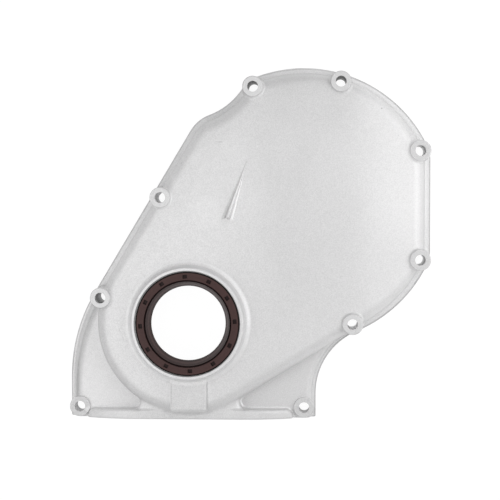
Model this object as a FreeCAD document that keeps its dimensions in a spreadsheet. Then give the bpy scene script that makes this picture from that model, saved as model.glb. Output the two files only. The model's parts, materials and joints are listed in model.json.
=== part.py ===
import FreeCAD, Part
import math
import os
import Sketcher
from FreeCAD import Rotation, Vector

# Timing cover with its crankshaft oil seal.
# Origin on the crankshaft axis, in the plane of the gasket face.
# +Z points forward, out of the engine, +Y up the engine, +X to the right as seen from the front.

doc = FreeCAD.newDocument("timing_cover")

# Driving dimensions, millimetres and degrees
SIZES = {
    # Camshaft centre, measured from the crankshaft
    "cam_across": 75.0,
    "cam_up": 77.0,
    # Rim outline, seen from the front
    "rim_radius": 91.2,
    "flat_depth": 7.0,
    "flat_corner": 22.0,
    "slope_angle": 59.1,
    "slope_reach": 65.5,
    "pan_cut": 1.3,
    "pan_left": 15.3,
    "pan_right": 17.9,
    "pan_corner": 1.0,
    "left_arc": 110.0,
    "lower_waist_up": 15.9,
    "upper_waist": 45.0,
    "ear_radius": 20.0,
    "ear_angle": 109.7,
    "shoulder_radius": 24.5,
    "shoulder_along": 108.8,
    # Levels above the gasket face, and walls
    "flange_thick": 4.5,
    "face_level": 24.5,
    "web_level": 10.0,
    "wall": 4.0,
    "flange_lip": 4.8,
    "web_lip": 3.0,
    # Oil pan rail along the bottom
    "rail_thick": 6.4,
    "rail_level": 20.5,
    "rail_inset": 12.3,
    "rail_bend": 33.5,
    "rail_bow": 85.0,
    "rail_round": 2.2,
    "rail_end_round": 5.6,
    "rail_corner_round": 4.5,
    # Bolt bosses
    "boss_radius": 6.8,
    "boss_level": 27.0,
    "corner_boss_level": 12.3,
    "boss_foot": 1.8,
    "bolt_hole": 3.5,
    "bolt_inset": 7.2,
    "bolt_angle_top_left": 113.0,
    "bolt_angle_top_right": 73.0,
    "bolt_angle_side": 25.0,
    "bolt_angle_lower": 67.3,
    "slope_bolt_inset": 7.5,
    "slope_bolt_upper": 61.0,
    "slope_bolt_lower": 15.7,
    "corner_bolt_up": 7.2,
    "corner_bolt_left": 6.9,
    "corner_bolt_right": 7.7,
    # Hub and seal housing
    "seal_radius": 34.0,
    "seal_width": 10.0,
    "seal_recess": 1.0,
    "hub_level": 33.5,
    "hub_rim": 2.5,
    "hub_draft": 1.6,
    "hub_fillet": 4.5,
    "bore_lead": 0.6,
    "seal_shoulder": 4.0,
    # Seal: rubber moulded on a steel case, with a sprung lip
    "seal_rim": 0.9,
    "seal_rear_rim": 0.6,
    "seal_cover": 0.8,
    "seal_skin": 2.1,
    "seal_under": 0.7,
    "seal_wrap": 0.6,
    "seal_face_over": 0.4,
    "seal_groove_in": 1.5,
    "seal_groove_deep": 1.8,
    "lip_top": 0.9,
    "lip_in": 4.6,
    "lip_deep": 8.5,
    "lip_head_in": 1.9,
    "lip_heel_in": 3.7,
    "lip_stand": 0.3,
    "lip_neck_in": 2.1,
    "lip_neck_deep": 5.9,
    "lip_shoulder_deep": 7.1,
    "lip_root_in": 1.3,
    "case_leg": 4.2,
    "case_sheet": 1.0,
    "spring_groove": 0.8,
    "spring_gap": 0.05,
    "spring_deep": 8.4,
    "pocket_count": 12,
    "pocket_out": 1.8,
    "pocket_across": 2.5,
    "pocket_wide": 2.9,
    "pocket_deep": 1.5,
    "pocket_start_angle": 3.0,
    # Pad under the hub and tapered rib
    "pad_half": 11.8,
    "pad_rise": 1.0,
    "pad_gap": 4.8,
    "pad_corner": 1.2,
    "pad_round": 3.0,
    "rib_length": 41.8,
    "rib_angle": 72.0,
    "rib_across": 26.4,
    "rib_up": 68.2,
    "rib_half": 3.2,
    "rib_ridge": 1.4,
    "rib_rise": 2.6,
    "rib_groove": 1.3,
    "rib_sunk": 0.5,
    "rib_tip": 0.1,
    # Rounded edges
    "face_round": 8.0,
    "flange_round": 1.2,
    "web_round": 3.8,
    "foot_fillet": 1.5,
    "cavity_fillet": 4.0,
    "edge_break": 0.6,
}

sheet = doc.addObject("Spreadsheet::Sheet", "Sizes")
for row, (alias, value) in enumerate(SIZES.items(), start=1):
    sheet.set("A%d" % row, alias)
    sheet.set("B%d" % row, str(value))
    sheet.setAlias("B%d" % row, alias)
doc.recompute()


def size(alias):
    """Value of a driving dimension, read back from the sheet."""
    return float(sheet.get(alias))


def value(rule):
    """Number that a rule over the sheet stands for."""
    return float(sheet.evalExpression(rule.replace("Sizes.", "")))


def unit(angle):
    """Unit vector at an angle in degrees."""
    return Vector(math.cos(math.radians(angle)), math.sin(math.radians(angle)), 0)


def between(near, far, near_reach, far_reach):
    """Point at given distances from two centres, on the left of the way from near to far."""
    way = far - near
    span = way.Length
    along = (near_reach ** 2 - far_reach ** 2 + span ** 2) / (2 * span)
    aside = math.sqrt(near_reach ** 2 - along ** 2)
    way.normalize()
    return near + way * along + Vector(-way.y, way.x, 0) * aside


class Straight:
    """Straight stretch of an outline, by its outward normal's angle and its reach from the crankshaft."""

    def __init__(self, angle, reach, angle_cell=None, reach_cell=None):
        self.normal = unit(angle)
        self.square = angle % 90 == 0
        self.reach = reach
        self.angle_cell = angle_cell
        self.reach_cell = reach_cell

    def inset(self, depth, cell):
        """The same stretch, moved inwards."""
        moved = Straight(0, self.reach - depth, self.angle_cell)
        moved.normal = self.normal
        moved.square = self.square
        if self.reach_cell:
            moved.reach_cell = "%s - %s" % (self.reach_cell, cell)
        return moved


class Round:
    """Round stretch of an outline. Its radius is negative where the outline is hollow."""

    def __init__(self, centre, radius, radius_cell=None, centre_cells=None):
        self.centre = centre
        self.radius = radius
        self.radius_cell = radius_cell
        self.centre_cells = centre_cells

    def inset(self, depth, cell):
        """The same stretch, moved inwards."""
        sign = "-" if self.radius > 0 else "+"
        rule = self.radius_cell and "%s %s %s" % (self.radius_cell, sign, cell)
        return Round(self.centre, self.radius - depth, rule, self.centre_cells)


def joint(one, two):
    """Point where one stretch of an outline runs smoothly, or at a square corner, into the next."""
    if isinstance(one, Straight) and isinstance(two, Straight):
        return one.normal * one.reach + two.normal * two.reach
    if isinstance(one, Straight):
        return two.centre + one.normal * two.radius
    if isinstance(two, Straight):
        return one.centre + two.normal * one.radius
    normal = (one.centre - two.centre) / (two.radius - one.radius)
    return one.centre + normal * one.radius


def inset_all(stretches, *cells):
    """The stretches of an outline, all moved inwards by the sum of some cells."""
    rule = " - ".join("Sizes.%s" % cell for cell in cells)
    depth = sum(size(cell) for cell in cells)
    hollow_rule = " + ".join("Sizes.%s" % cell for cell in cells)
    moved = []
    for stretch in stretches:
        hollow = isinstance(stretch, Round) and stretch.radius < 0
        moved.append(stretch.inset(depth, hollow_rule if hollow else rule))
    return moved


# Reach of the pan face and of the edges beside it, from the crankshaft
PAN_DROP = "(Sizes.slope_reach - Sizes.pan_cut)"
LEFT_EDGE = "(Sizes.slope_reach + Sizes.pan_left)"
RIGHT_EDGE = "(Sizes.slope_reach + Sizes.pan_right)"

# Lower waist, which runs into the right edge at its own height and touches the rim's circle
WAIST_UP = "(Sizes.lower_waist_up - %s)" % PAN_DROP
WAIST_IN = "(%s - Sizes.cam_across)" % RIGHT_EDGE
WAIST = ("((%s^2 + (Sizes.cam_up - %s)^2 - Sizes.rim_radius^2) / (2 * (Sizes.rim_radius - %s)))"
         % (WAIST_IN, WAIST_UP, WAIST_IN))

# Centres of the rim's round stretches
CRANK = Vector(0, 0, 0)
CAM = Vector(size("cam_across"), size("cam_up"), 0)
SLOPE = 90 + size("slope_angle")
RIM = size("rim_radius")
FLAT = "Sizes.cam_across + Sizes.rim_radius - Sizes.flat_depth"
LOWER_WAIST = Vector(value(RIGHT_EDGE) + value(WAIST), value(WAIST_UP), 0)

corner_across = RIM - size("flat_depth") - size("flat_corner")
corner_up = math.sqrt((RIM - size("flat_corner")) ** 2 - corner_across ** 2)
FLAT_LOW = CAM + Vector(corner_across, -corner_up, 0)
FLAT_HIGH = CAM + Vector(corner_across, corner_up, 0)

EAR = CAM + unit(size("ear_angle")) * (RIM - size("ear_radius"))
SHOULDER = unit(SLOPE) * (size("slope_reach") - size("shoulder_radius"))
SHOULDER += unit(size("slope_angle")) * size("shoulder_along")
UPPER_WAIST = between(SHOULDER, EAR, size("upper_waist") + size("shoulder_radius"),
                      size("upper_waist") + size("ear_radius"))

left_across = size("left_arc") - value(LEFT_EDGE)
left_rise = (size("slope_reach") - size("left_arc") - unit(SLOPE).x * left_across) / unit(SLOPE).y
LEFT_ARC = Vector(left_across, left_rise, 0)

SHOULDER_RULE = ("(Sizes.slope_reach - Sizes.shoulder_radius) * cos(Sizes.slope_angle)"
                 " + Sizes.shoulder_along * sin(Sizes.slope_angle)")


def rim_stretches():
    """Outer rim from the pan corner, anticlockwise as seen from the front, to the left edge."""
    cam_cells = ("Sizes.cam_across", "Sizes.cam_up")
    upper_cell = "Sizes.cam_across + (Sizes.rim_radius - Sizes.ear_radius) * cos(Sizes.ear_angle)"
    return [
        Straight(-90, value(PAN_DROP), reach_cell=PAN_DROP),
        Straight(0, value(RIGHT_EDGE), reach_cell=RIGHT_EDGE),
        Round(LOWER_WAIST, -value(WAIST), WAIST),
        Round(CAM, RIM, "Sizes.rim_radius", cam_cells),
        Round(FLAT_LOW, size("flat_corner"), "Sizes.flat_corner"),
        Straight(0, value(FLAT), reach_cell=FLAT),
        Round(FLAT_HIGH, size("flat_corner"), "Sizes.flat_corner"),
        Round(CAM, RIM, "Sizes.rim_radius", cam_cells),
        Round(EAR, size("ear_radius"), "Sizes.ear_radius", (upper_cell, None)),
        Round(UPPER_WAIST, -size("upper_waist"), "Sizes.upper_waist"),
        Round(SHOULDER, size("shoulder_radius"), "Sizes.shoulder_radius", (None, SHOULDER_RULE)),
        Straight(SLOPE, size("slope_reach"), "Sizes.slope_angle - 180", "Sizes.slope_reach"),
        Round(LEFT_ARC, size("left_arc"), "Sizes.left_arc"),
        Straight(180, value(LEFT_EDGE), reach_cell=LEFT_EDGE),
    ]


def outward(stretch, point):
    """Outward normal of a stretch at a point on it."""
    if isinstance(stretch, Straight):
        return stretch.normal
    return (point - stretch.centre) / stretch.radius


def draw(sketch, stretches, joints):
    """Draws stretches into a sketch, each from its joint to the next, and ties them to the sheet."""
    closed = len(joints) == len(stretches)
    starts = []
    ends = []
    for number, stretch in enumerate(stretches):
        here = joints[number]
        there = joints[(number + 1) % len(joints)]
        if isinstance(stretch, Straight):
            sketch.addGeometry(Part.LineSegment(here, there), False)
            starts.append(1)
            ends.append(2)
            continue
        circle = Part.Circle(stretch.centre, Vector(0, 0, 1), abs(stretch.radius))
        first, last = (here, there) if stretch.radius > 0 else (there, here)
        arc = Part.ArcOfCircle(circle, circle.parameter(first), circle.parameter(last))
        sketch.addGeometry(arc, False)
        starts.append(1 if stretch.radius > 0 else 2)
        ends.append(2 if stretch.radius > 0 else 1)
    for number in range(len(stretches) if closed else len(stretches) - 1):
        after = (number + 1) % len(stretches)
        meeting = joints[(number + 1) % len(joints)]
        smooth = outward(stretches[number], meeting).isEqual(outward(stretches[after], meeting), 1e-5)
        kind = "Tangent" if smooth else "Coincident"
        sketch.addConstraint(Sketcher.Constraint(kind, number, ends[number], after, starts[after]))
    for number, stretch in enumerate(stretches):
        if isinstance(stretch, Straight):
            tie_straight(sketch, number, stretch)
        else:
            tie_round(sketch, number, stretch)


def tie(sketch, constraint, rule):
    """Adds a constraint whose value comes from the sheet."""
    sketch.setExpression("Constraints[%d]" % sketch.addConstraint(constraint), rule)


def tie_straight(sketch, number, stretch):
    """Sets the direction and the reach of a straight stretch."""
    if stretch.square:
        kind = "Horizontal" if abs(stretch.normal.x) < 0.5 else "Vertical"
        sketch.addConstraint(Sketcher.Constraint(kind, number))
    if stretch.angle_cell:
        heading = math.atan2(stretch.normal.x, -stretch.normal.y)
        tie(sketch, Sketcher.Constraint("Angle", number, heading), stretch.angle_cell)
    if stretch.reach_cell:
        tie(sketch, Sketcher.Constraint("Distance", -1, 1, number, stretch.reach), stretch.reach_cell)


def tie_round(sketch, number, stretch):
    """Sets the radius and, where it is given, the centre of a round stretch."""
    if stretch.radius_cell:
        tie(sketch, Sketcher.Constraint("Radius", number, abs(stretch.radius)), stretch.radius_cell)
    if stretch.centre_cells:
        for kind, value, rule in zip(("DistanceX", "DistanceY"), stretch.centre, stretch.centre_cells):
            if rule:
                tie(sketch, Sketcher.Constraint(kind, -1, 1, number, 3, value), rule)


def joints_of(stretches):
    """Start points of the stretches of a closed outline."""
    return [joint(stretches[number - 1], stretches[number]) for number in range(len(stretches))]


def sketch_on(body, name, role, rules=()):
    """New sketch on one of a body's own origin planes, moved by rules for its offset."""
    sketch = body.newObject("Sketcher::SketchObject", name)
    plane = [feature for feature in body.Origin.OriginFeatures if feature.Role == role][0]
    sketch.AttachmentSupport = (plane, [""])
    sketch.MapMode = "FlatFace"
    for path, rule in rules:
        sketch.setExpression("AttachmentOffset." + path, rule)
    return sketch


def new_body(name):
    """New body, labelled with the name of its file."""
    body = doc.addObject("PartDesign::Body", name)
    body.Label = name
    return body


def feature(body, kind, name, **rules):
    """New feature of a body, with its sizes given by rules over the sheet."""
    made = body.newObject("PartDesign::" + kind, name)
    for prop, rule in rules.items():
        made.setExpression(prop, rule)
    return made


def pad(body, name, sketch, length):
    """Pads a sketch forwards."""
    made = feature(body, "Pad", name, Length=length)
    made.Profile = sketch
    doc.recompute()
    return made


def pocket(body, name, sketch, length):
    """Pockets a sketch forwards, from the gasket face into the casting."""
    made = feature(body, "Pocket", name, Length=length)
    made.Profile = sketch
    made.Reversed = True
    doc.recompute()
    return made


def edges_of(shape, wanted):
    """Names of the edges of a shape for which wanted(middle point, edge) holds."""
    names = []
    for number, edge in enumerate(shape.Edges, start=1):
        middle = edge.valueAt((edge.FirstParameter + edge.LastParameter) / 2)
        if wanted(middle, edge):
            names.append("Edge%d" % number)
    return names


def fillet(body, name, radius, wanted):
    """Rounds the edges of the body's last feature for which wanted holds."""
    base = body.Tip
    made = feature(body, "Fillet", name, Radius=radius)
    made.Base = (base, edges_of(base.Shape, wanted))
    doc.recompute()
    return made


def flat_at(edge, level):
    """True for an edge that lies in the plane of a level."""
    return abs(edge.BoundBox.ZMin - level) < 0.001 and abs(edge.BoundBox.ZMax - level) < 0.001


def wall_above(shape, at, edge, level):
    """True for an edge in the plane of a level, from which a wall rises."""
    return flat_at(edge, level) and shape.isInside(at + Vector(0, 0, 0.1), 0.001, True)


def draw_corners(sketch, corners):
    """Draws a closed outline of straight lines, with the place of each corner given by two rules."""
    points = [Vector(value(across), value(up), 0) for across, up in corners]
    for number, point in enumerate(points):
        sketch.addGeometry(Part.LineSegment(point, points[(number + 1) % len(points)]), False)
    for number, point in enumerate(points):
        after = (number + 1) % len(points)
        sketch.addConstraint(Sketcher.Constraint("Coincident", number, 2, after, 1))
        tie(sketch, Sketcher.Constraint("DistanceX", -1, 1, number, 1, point.x), corners[number][0])
        tie(sketch, Sketcher.Constraint("DistanceY", -1, 1, number, 1, point.y), corners[number][1])


def draw_circles(sketch, places, radius):
    """Draws equal circles at places given by two rules each."""
    for number, (across, up) in enumerate(places):
        centre = Vector(value(across), value(up), 0)
        sketch.addGeometry(Part.Circle(centre, Vector(0, 0, 1), value(radius)), False)
        tie(sketch, Sketcher.Constraint("Radius", number, value(radius)), radius)
        tie(sketch, Sketcher.Constraint("DistanceX", -1, 1, number, 3, centre.x), across)
        tie(sketch, Sketcher.Constraint("DistanceY", -1, 1, number, 3, centre.y), up)


def revolve(body, name, sketch):
    """Turns a section about the crankshaft axis."""
    made = feature(body, "Revolution", name)
    made.Profile = sketch
    made.ReferenceAxis = (sketch, ["V_Axis"])
    made.Angle = 360
    doc.recompute()
    return made


FLANGE_TOP = size("flange_thick")
FACE = size("face_level")
WEB = size("web_level")
PAN = -value(PAN_DROP)

rim = rim_stretches()


def flange_plate(body):
    """Flange plate with its rounded rim, the base of the webs and of the gear cover."""
    flange_sketch = sketch_on(body, "flange_outline", "XY_Plane")
    draw(flange_sketch, rim, joints_of(rim))
    pad(body, "flange", flange_sketch, "Sizes.flange_thick")
    fillet(body, "flange_edge", "Sizes.flange_round",
           lambda at, edge: flat_at(edge, FLANGE_TOP) and at.y > PAN + 0.01)


# Low webs that fill the two corners beside the crankshaft
LEFT_ARC_UP = ("(Sizes.slope_reach - Sizes.left_arc"
               " + (Sizes.left_arc - %s) * sin(Sizes.slope_angle)) / cos(Sizes.slope_angle)" % LEFT_EDGE)
WAIST_END = "Sizes.cam_across + (%s + %s) * (1 - (%s + %%s) / (%s + Sizes.rim_radius))" % (
    WAIST_IN, WAIST, WAIST, WAIST)
LEFT_END = "Sizes.left_arc - %s - (Sizes.left_arc - (%%s)) * sin(Sizes.slope_angle)" % LEFT_EDGE


def draw_web(sketch, side_cells, floor_cells):
    """Draws the corner webs, moved in at the sides and up at the pan face, closed through the crankshaft."""
    edges = rim_stretches()
    sides = inset_all(edges[1:4] + edges[11:14], *side_cells)
    right, waist, cam, slope, left_arc, left = sides
    floor = inset_all([edges[0]], *floor_cells)[0] if floor_cells else edges[0]
    waist.centre_cells = (None, WAIST_UP)
    left_arc.centre_cells = (None, LEFT_ARC_UP)
    outline = [left_arc, left, floor, right, waist]
    points = [joint(slope, left_arc), joint(left_arc, left), joint(left, floor), joint(floor, right),
              joint(right, waist), joint(waist, cam)]
    draw(sketch, outline, points)
    sketch.addGeometry(Part.LineSegment(points[-1], CRANK), False)
    sketch.addGeometry(Part.LineSegment(CRANK, points[0]), False)
    sketch.addConstraint(Sketcher.Constraint("Coincident", 4, 1, 5, 1))
    sketch.addConstraint(Sketcher.Constraint("Coincident", 5, 2, 6, 1))
    sketch.addConstraint(Sketcher.Constraint("Coincident", 6, 2, 0, 1))
    sketch.addConstraint(Sketcher.Constraint("Coincident", 5, 2, -1, 1))
    inset = " + ".join("Sizes." + cell for cell in side_cells)
    tie(sketch, Sketcher.Constraint("DistanceX", -1, 1, 5, 1, points[-1].x), WAIST_END % inset)
    tie(sketch, Sketcher.Constraint("DistanceX", -1, 1, 6, 2, points[0].x), LEFT_END % inset)


web_blank = new_body("web_blank")
flange_plate(web_blank)
web_sketch = sketch_on(web_blank, "web_outline", "XY_Plane")
draw_web(web_sketch, ("web_lip",), ())
pad(web_blank, "webs", web_sketch, "Sizes.web_level")
fillet(web_blank, "web_edge", "Sizes.web_round",
       lambda at, edge: flat_at(edge, WEB) and at.y > PAN + 0.01 and at.Length > size("slope_reach"))
webs = web_blank.Tip.Shape
fillet(web_blank, "web_foot", "Sizes.foot_fillet",
       lambda at, edge: wall_above(webs, at, edge, FLANGE_TOP))


def shell_stretches():
    """Outline of the raised gear cover at the rim's own reach, before it is moved inwards."""
    chain_angle = math.degrees(math.atan2(CAM.y, CAM.x))
    lean = math.degrees(math.acos((size("slope_reach") - RIM) / CAM.Length))
    return [
        Straight(chain_angle - lean, size("slope_reach")),
        Round(CAM, RIM, "Sizes.rim_radius", ("Sizes.cam_across", "Sizes.cam_up")),
        *rim_stretches()[4:12],
        Round(CRANK, size("slope_reach"), "Sizes.slope_reach", ("0", "0")),
    ]


# Raised gear cover, from the crankshaft to the camshaft
cover = new_body("timing_cover")
flange_plate(cover)
shell = inset_all(shell_stretches(), "flange_lip")
shell[9].reach_cell = None
shell_sketch = sketch_on(cover, "shell_outline", "XY_Plane")
draw(shell_sketch, shell, joints_of(shell))
doc.recompute()
pad(cover, "shell", shell_sketch, "Sizes.face_level")
fillet(cover, "face_edge", "Sizes.face_round", lambda at, edge: flat_at(edge, FACE))
shell_walls = cover.Tip.Shape
fillet(cover, "shell_foot", "Sizes.foot_fillet",
       lambda at, edge: wall_above(shell_walls, at, edge, FLANGE_TOP))

ROOF = "Sizes.face_level - Sizes.wall"


# Oil pan rail, bowed towards its ends
rail_blank = new_body("rail_blank")
rail_sketch = sketch_on(rail_blank, "rail_outline", "XZ_Plane",
                        [("Base.z", PAN_DROP + " - Sizes.rail_thick")])
RAIL_REACH = "(%s - Sizes.rail_inset)" % LEFT_EDGE
RAIL_FLAT = "(%s - Sizes.rail_bend)" % RAIL_REACH
rail_reach = value(RAIL_REACH)
rail_centre = Vector(value(RAIL_FLAT), size("rail_level") - size("rail_bow"), 0)
rail_left_centre = Vector(-rail_centre.x, rail_centre.y, 0)
rail_end = rail_centre.y + math.sqrt(size("rail_bow") ** 2 - size("rail_bend") ** 2)
rail = [
    Straight(-90, 0),
    Straight(0, rail_reach, reach_cell=RAIL_REACH),
    Round(rail_centre, size("rail_bow"), "Sizes.rail_bow", (RAIL_FLAT, None)),
    Straight(90, size("rail_level"), reach_cell="Sizes.rail_level"),
    Round(rail_left_centre, size("rail_bow"), "Sizes.rail_bow", ("-" + RAIL_FLAT, None)),
    Straight(180, rail_reach, reach_cell=RAIL_REACH),
]
rail_points = [
    Vector(-rail_reach, 0, 0),
    Vector(rail_reach, 0, 0),
    Vector(rail_reach, rail_end, 0),
    Vector(rail_centre.x, size("rail_level"), 0),
    Vector(rail_left_centre.x, size("rail_level"), 0),
    Vector(-rail_reach, rail_end, 0),
]
draw(rail_sketch, rail, rail_points)
rail_sketch.addConstraint(Sketcher.Constraint("PointOnObject", 0, 1, -1))
pad(rail_blank, "rail", rail_sketch, "Sizes.rail_thick")
fillet(rail_blank, "rail_end", "Sizes.rail_end_round",
       lambda at, edge: at.y > PAN + 0.01 and edge.BoundBox.ZMin < 0.01 < WEB < edge.BoundBox.ZMax)
fillet(rail_blank, "rail_edge", "Sizes.rail_round",
       lambda at, edge: at.z > 1 and at.y > PAN + 0.01 and edge.BoundBox.ZMin > WEB + 0.5)
for name, blank in (("web_join", web_blank), ("rail_join", rail_blank)):
    join = feature(cover, "Boolean", name)
    join.addObjects([blank])
    join.Type = "Fuse"
    doc.recompute()

# Places of the bolt bosses: five round the camshaft, two on the slope, two low ones in the corners
SLOPE_BOLT = "(Sizes.slope_reach - Sizes.slope_bolt_inset)"
BOLT_CIRCLE = "(Sizes.rim_radius - Sizes.bolt_inset)"
TALL = []
for angle in ("Sizes.bolt_angle_top_left", "Sizes.bolt_angle_top_right", "Sizes.bolt_angle_side",
              "-Sizes.bolt_angle_side", "-Sizes.bolt_angle_lower"):
    TALL.append(("Sizes.cam_across + %s * cos(%s)" % (BOLT_CIRCLE, angle),
                 "Sizes.cam_up + %s * sin(%s)" % (BOLT_CIRCLE, angle)))
for along in ("-Sizes.slope_bolt_lower", "Sizes.slope_bolt_upper"):
    TALL.append(("(%s) * cos(Sizes.slope_angle) - %s * sin(Sizes.slope_angle)" % (along, SLOPE_BOLT),
                 "(%s) * sin(Sizes.slope_angle) + %s * cos(Sizes.slope_angle)" % (along, SLOPE_BOLT)))
LOW = [
    ("Sizes.corner_bolt_left - " + LEFT_EDGE, "Sizes.corner_bolt_up - " + PAN_DROP),
    (RIGHT_EDGE + " - Sizes.corner_bolt_right", "Sizes.corner_bolt_up - " + PAN_DROP),
]


boss_sketch = sketch_on(cover, "boss_outline", "XY_Plane")
draw_circles(boss_sketch, TALL, "Sizes.boss_radius")
pad(cover, "bosses", boss_sketch, "Sizes.boss_level")
TALL_CENTRES = [Vector(value(across), value(up), 0) for across, up in TALL]


def at_boss_foot(at, edge):
    """True for an edge where a tall boss comes out of the gear cover."""
    reaches = [(Vector(at.x, at.y, 0) - centre).Length for centre in TALL_CENTRES]
    on_boss = any(abs(reach - size("boss_radius")) < 0.001 for reach in reaches)
    return on_boss and value(ROOF) + 0.1 < edge.BoundBox.ZMax < FACE + 0.01




def at_rail_corner(at, edge):
    """True for an upright edge where the inner side of the rail meets the raised cover."""
    box = edge.BoundBox
    upright = box.XLength < 0.01 and box.YLength < 0.01 and box.ZMax > WEB + 1
    return upright and abs(at.y - PAN - size("rail_thick")) < 0.3 and abs(at.x) < rail_centre.x + 20


fillet(cover, "rail_corner", "Sizes.rail_corner_round", at_rail_corner)
web_walls = cover.Tip.Shape
fillet(cover, "web_top_foot", "Sizes.foot_fillet", lambda at, edge: wall_above(web_walls, at, edge, WEB))
fillet(cover, "boss_foot", "Sizes.boss_foot", at_boss_foot)
fillet(cover, "boss_edge", "Sizes.edge_break", lambda at, edge: flat_at(edge, size("boss_level")))

# Hub for the crankshaft seal
hub_sketch = sketch_on(cover, "hub_outline", "XZ_Plane")
HUB_RIM = "Sizes.seal_radius + Sizes.hub_rim"
HUB_SIDE = HUB_RIM + " + Sizes.hub_draft"
draw_corners(hub_sketch, [
    ("0", ROOF),
    (HUB_SIDE, ROOF),
    (HUB_SIDE, "Sizes.face_level"),
    (HUB_RIM, "Sizes.hub_level"),
    ("0", "Sizes.hub_level"),
])
revolve(cover, "hub", hub_sketch)
fillet(cover, "hub_foot", "Sizes.hub_fillet",
       lambda at, edge: flat_at(edge, FACE) and abs(math.hypot(at.x, at.y) - value(HUB_SIDE)) < 0.01)
fillet(cover, "hub_edge", "Sizes.edge_break", lambda at, edge: flat_at(edge, size("hub_level")))

# Pad under the hub
PAD_END = "(Sizes.pad_gap - %s)" % PAN_DROP
pad_sketch = sketch_on(cover, "pad_outline", "XY_Plane", [("Base.z", "Sizes.web_level")])
draw_corners(pad_sketch, [
    ("-Sizes.pad_half", "-Sizes.seal_radius"),
    ("-Sizes.pad_half", PAD_END + " + Sizes.pad_corner"),
    ("Sizes.pad_corner - Sizes.pad_half", PAD_END),
    ("Sizes.pad_half - Sizes.pad_corner", PAD_END),
    ("Sizes.pad_half", PAD_END + " + Sizes.pad_corner"),
    ("Sizes.pad_half", "-Sizes.seal_radius"),
])
pad(cover, "hub_pad", pad_sketch, "Sizes.face_level + Sizes.pad_rise - Sizes.web_level")
PAD_TOP = FACE + size("pad_rise")
fillet(cover, "pad_front", "Sizes.pad_round",
       lambda at, edge: flat_at(edge, PAD_TOP) and abs(at.y - value(PAD_END)) < 0.001)

# Tapered rib with a groove along its back
RIB_PLACES = {
    "rib_base": ("Sizes.rib_across", "-Sizes.rib_up"),
    "rib_apex": ("Sizes.rib_across + Sizes.rib_length * cos(Sizes.rib_angle)",
                 "-Sizes.rib_up - Sizes.rib_length * sin(Sizes.rib_angle)"),
}
RIB_SECTIONS = {
    "rib_base": [
        ("-Sizes.rib_half", "0"),
        ("Sizes.rib_half", "0"),
        ("Sizes.rib_ridge", "Sizes.rib_sunk + Sizes.rib_rise"),
        ("0", "Sizes.rib_sunk + Sizes.rib_rise - Sizes.rib_groove"),
        ("-Sizes.rib_ridge", "Sizes.rib_sunk + Sizes.rib_rise"),
    ],
    "rib_apex": [
        ("-Sizes.rib_tip", "0"),
        ("Sizes.rib_tip", "0"),
        ("Sizes.rib_tip / 2", "Sizes.rib_sunk"),
        ("0", "Sizes.rib_sunk - Sizes.rib_tip / 2"),
        ("-Sizes.rib_tip / 2", "Sizes.rib_sunk"),
    ],
}
rib_sketches = []
for name, (across, back) in RIB_PLACES.items():
    rib_sketch = sketch_on(cover, name, "XZ_Plane", [
        ("Base.x", across),
        ("Base.y", "Sizes.face_level - Sizes.rib_sunk"),
        ("Base.z", back),
    ])
    rib_sketch.AttachmentOffset.Rotation = Rotation(Vector(0, 1, 0), 0)
    rib_sketch.setExpression("AttachmentOffset.Rotation.Axis.y", "1")
    rib_sketch.setExpression("AttachmentOffset.Rotation.Angle", "Sizes.rib_angle - 90")
    draw_corners(rib_sketch, RIB_SECTIONS[name])
    rib_sketches.append(rib_sketch)
doc.recompute()
rib = feature(cover, "AdditiveLoft", "rib")
rib.Profile = rib_sketches[0]
rib.Sections = rib_sketches[1:]
rib.Ruled = True
doc.recompute()

# Hollow behind the gear cover and the webs
cavity_sketch = sketch_on(cover, "cavity_outline", "XY_Plane")
cavity = inset_all(shell_stretches(), "flange_lip", "wall")
cavity[9].reach_cell = None
draw(cavity_sketch, cavity, joints_of(cavity))
pocket(cover, "cavity", cavity_sketch, ROOF)
fillet(cover, "cavity_edge", "Sizes.cavity_fillet",
       lambda at, edge: flat_at(edge, value(ROOF)) and at.y > PAN + size("rail_thick") + 0.1)
web_cavity_sketch = sketch_on(cover, "web_cavity_outline", "XY_Plane")
draw_web(web_cavity_sketch, ("web_lip", "wall"), ("rail_thick",))
pocket(cover, "web_cavity", web_cavity_sketch, "Sizes.web_level - Sizes.wall")

# Bolt columns inside the hollow, and the low bosses in the corners
pad(cover, "boss_columns", boss_sketch, "Sizes.face_level - Sizes.wall / 2")
corner_boss_sketch = sketch_on(cover, "corner_boss_outline", "XY_Plane")
draw_circles(corner_boss_sketch, LOW, "Sizes.boss_radius")
pad(cover, "corner_bosses", corner_boss_sketch, "Sizes.corner_boss_level")
fillet(cover, "corner_boss_edge", "Sizes.edge_break",
       lambda at, edge: flat_at(edge, size("corner_boss_level")))

# Seal bore with its shoulder behind the seal
bore_sketch = sketch_on(cover, "bore_outline", "XZ_Plane")
SHOULDER_BORE = "Sizes.seal_radius - Sizes.seal_shoulder"
SEAT = "Sizes.hub_level - Sizes.seal_recess - Sizes.seal_width"
draw_corners(bore_sketch, [
    ("0", "0"),
    (SHOULDER_BORE, "0"),
    (SHOULDER_BORE, SEAT),
    ("Sizes.seal_radius", SEAT),
    ("Sizes.seal_radius", "Sizes.hub_level - Sizes.bore_lead"),
    ("Sizes.seal_radius + Sizes.bore_lead + 1", "Sizes.hub_level + 1"),
    ("0", "Sizes.hub_level + 1"),
])
bore = feature(cover, "Groove", "seal_bore")
bore.Profile = bore_sketch
bore.ReferenceAxis = (bore_sketch, ["V_Axis"])
bore.Angle = 360
doc.recompute()
hole_sketch = sketch_on(cover, "hole_outline", "XY_Plane")
draw_circles(hole_sketch, TALL + LOW, "Sizes.bolt_hole")
pocket(cover, "bolt_holes", hole_sketch, "Sizes.boss_level + 1")
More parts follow.
